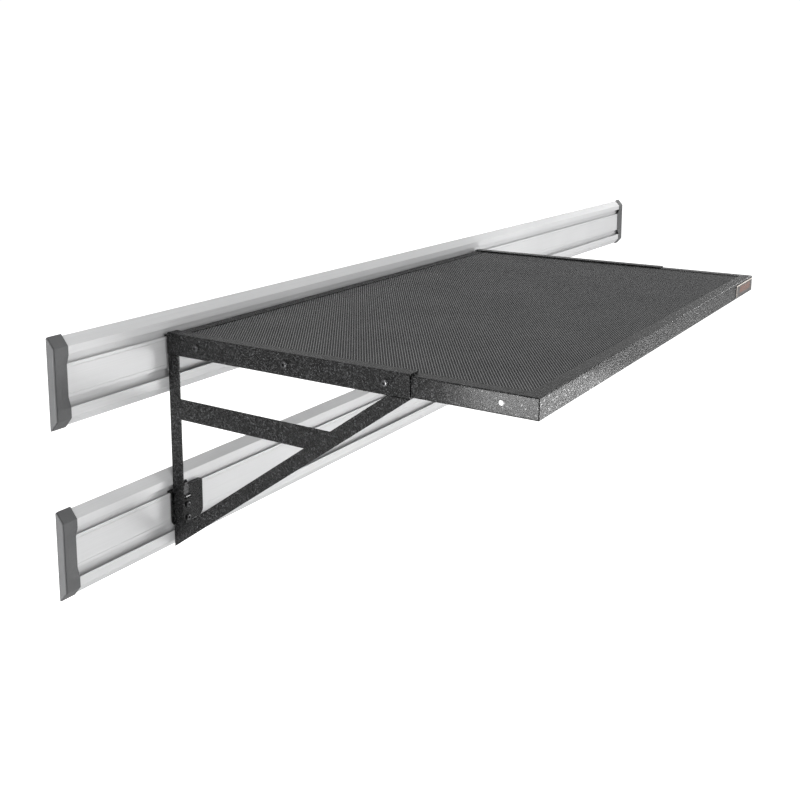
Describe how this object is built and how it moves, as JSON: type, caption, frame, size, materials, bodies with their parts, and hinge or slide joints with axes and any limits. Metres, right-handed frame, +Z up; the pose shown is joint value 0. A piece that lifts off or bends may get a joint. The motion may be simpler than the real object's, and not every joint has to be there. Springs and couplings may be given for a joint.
{
  "type": "wall rail shelf",
  "caption": "Steel shelf tray with a patterned deck on two triangular brackets that hook onto a pair of slotted wall rails and slide along them.",
  "frame": {"origin": "middle of the upper rail's back face, on the wall", "axes": "+X along the rails to the right, +Y into the wall, +Z up; the shelf stands out towards -Y"},
  "size_m": [2.504, 0.7459, 0.4512],
  "materials": {
    "hammertone_paint": "charcoal hammertone powder coat, semi-gloss",
    "deck_paint": "satin charcoal paint on a sheet patterned with small diamond pockets",
    "silver_rail": "satin silver",
    "grey_plastic": "fine-grained moulded plastic",
    "black_steel": "black oxide",
    "zinc_steel": "bright zinc plate",
    "label_foil": "blank printed foil plate"
  },
  "bodies": {
    "wall_rails": {"upper_rail": "silver_rail", "lower_rail": "silver_rail", "upper_rail_cover_strip": "silver_rail", "lower_rail_cover_strip": "silver_rail", "upper_left_end_cap": "grey_plastic", "upper_right_end_cap": "grey_plastic", "lower_left_end_cap": "grey_plastic", "lower_right_end_cap": "grey_plastic", "upper_wall_screw_1": "zinc_steel", "upper_wall_screw_2": "zinc_steel", "upper_wall_screw_3": "zinc_steel", "upper_wall_screw_4": "zinc_steel", "upper_wall_screw_5": "zinc_steel", "lower_wall_screw_1": "zinc_steel", "lower_wall_screw_2": "zinc_steel", "lower_wall_screw_3": "zinc_steel", "lower_wall_screw_4": "zinc_steel", "lower_wall_screw_5": "zinc_steel"},
    "shelf": {"tray_frame": "hammertone_paint", "deck_panel": "deck_paint", "deck_stiffener_1": "hammertone_paint", "deck_stiffener_2": "hammertone_paint", "deck_stiffener_3": "hammertone_paint", "blank_label_plate": "label_foil", "left_side_channel": "hammertone_paint", "left_upright": "hammertone_paint", "left_diagonal_brace": "hammertone_paint", "left_cross_brace": "hammertone_paint", "left_lower_hook": "hammertone_paint", "left_upper_hook": "hammertone_paint", "left_latch_pin": "zinc_steel", "left_tray_bolt_1": "black_steel", "left_tray_bolt_2": "black_steel", "left_tray_bolt_3": "black_steel", "left_tray_nut_1": "zinc_steel", "left_tray_nut_2": "zinc_steel", "left_tray_nut_3": "zinc_steel", "left_lower_hook_bolt_1": "black_steel", "left_lower_hook_bolt_2": "black_steel", "left_upper_hook_bolt_1": "black_steel", "left_upper_hook_bolt_2": "black_steel", "right_side_channel": "hammertone_paint", "right_upright": "hammertone_paint", "right_diagonal_brace": "hammertone_paint", "right_cross_brace": "hammertone_paint", "right_lower_hook": "hammertone_paint", "right_upper_hook": "hammertone_paint", "right_latch_pin": "zinc_steel", "right_tray_bolt_1": "black_steel", "right_tray_bolt_2": "black_steel", "right_tray_bolt_3": "black_steel", "right_tray_nut_1": "zinc_steel", "right_tray_nut_2": "zinc_steel", "right_tray_nut_3": "zinc_steel", "right_lower_hook_bolt_1": "black_steel", "right_lower_hook_bolt_2": "black_steel", "right_upper_hook_bolt_1": "black_steel", "right_upper_hook_bolt_2": "black_steel"},
    "left_latch": {"left_hook_latch": "black_steel"},
    "right_latch": {"right_hook_latch": "black_steel"}
  },
  "joints": [
    {"name": "shelf_slide", "type": "slide", "parent": "wall_rails", "child": "shelf", "axis": [1, 0, 0], "range_m": [-0.2, 1.025]},
    {"name": "left_latch_flip", "type": "hinge", "parent": "shelf", "child": "left_latch", "pos_m": [-0.97, -0.0184, -0.2794], "axis": [1, 0, 0], "range_deg": [0, 40]},
    {"name": "right_latch_flip", "type": "hinge", "parent": "shelf", "child": "right_latch", "pos_m": [0.14, -0.0184, -0.2794], "axis": [1, 0, 0], "range_deg": [0, 40]}
  ]
}
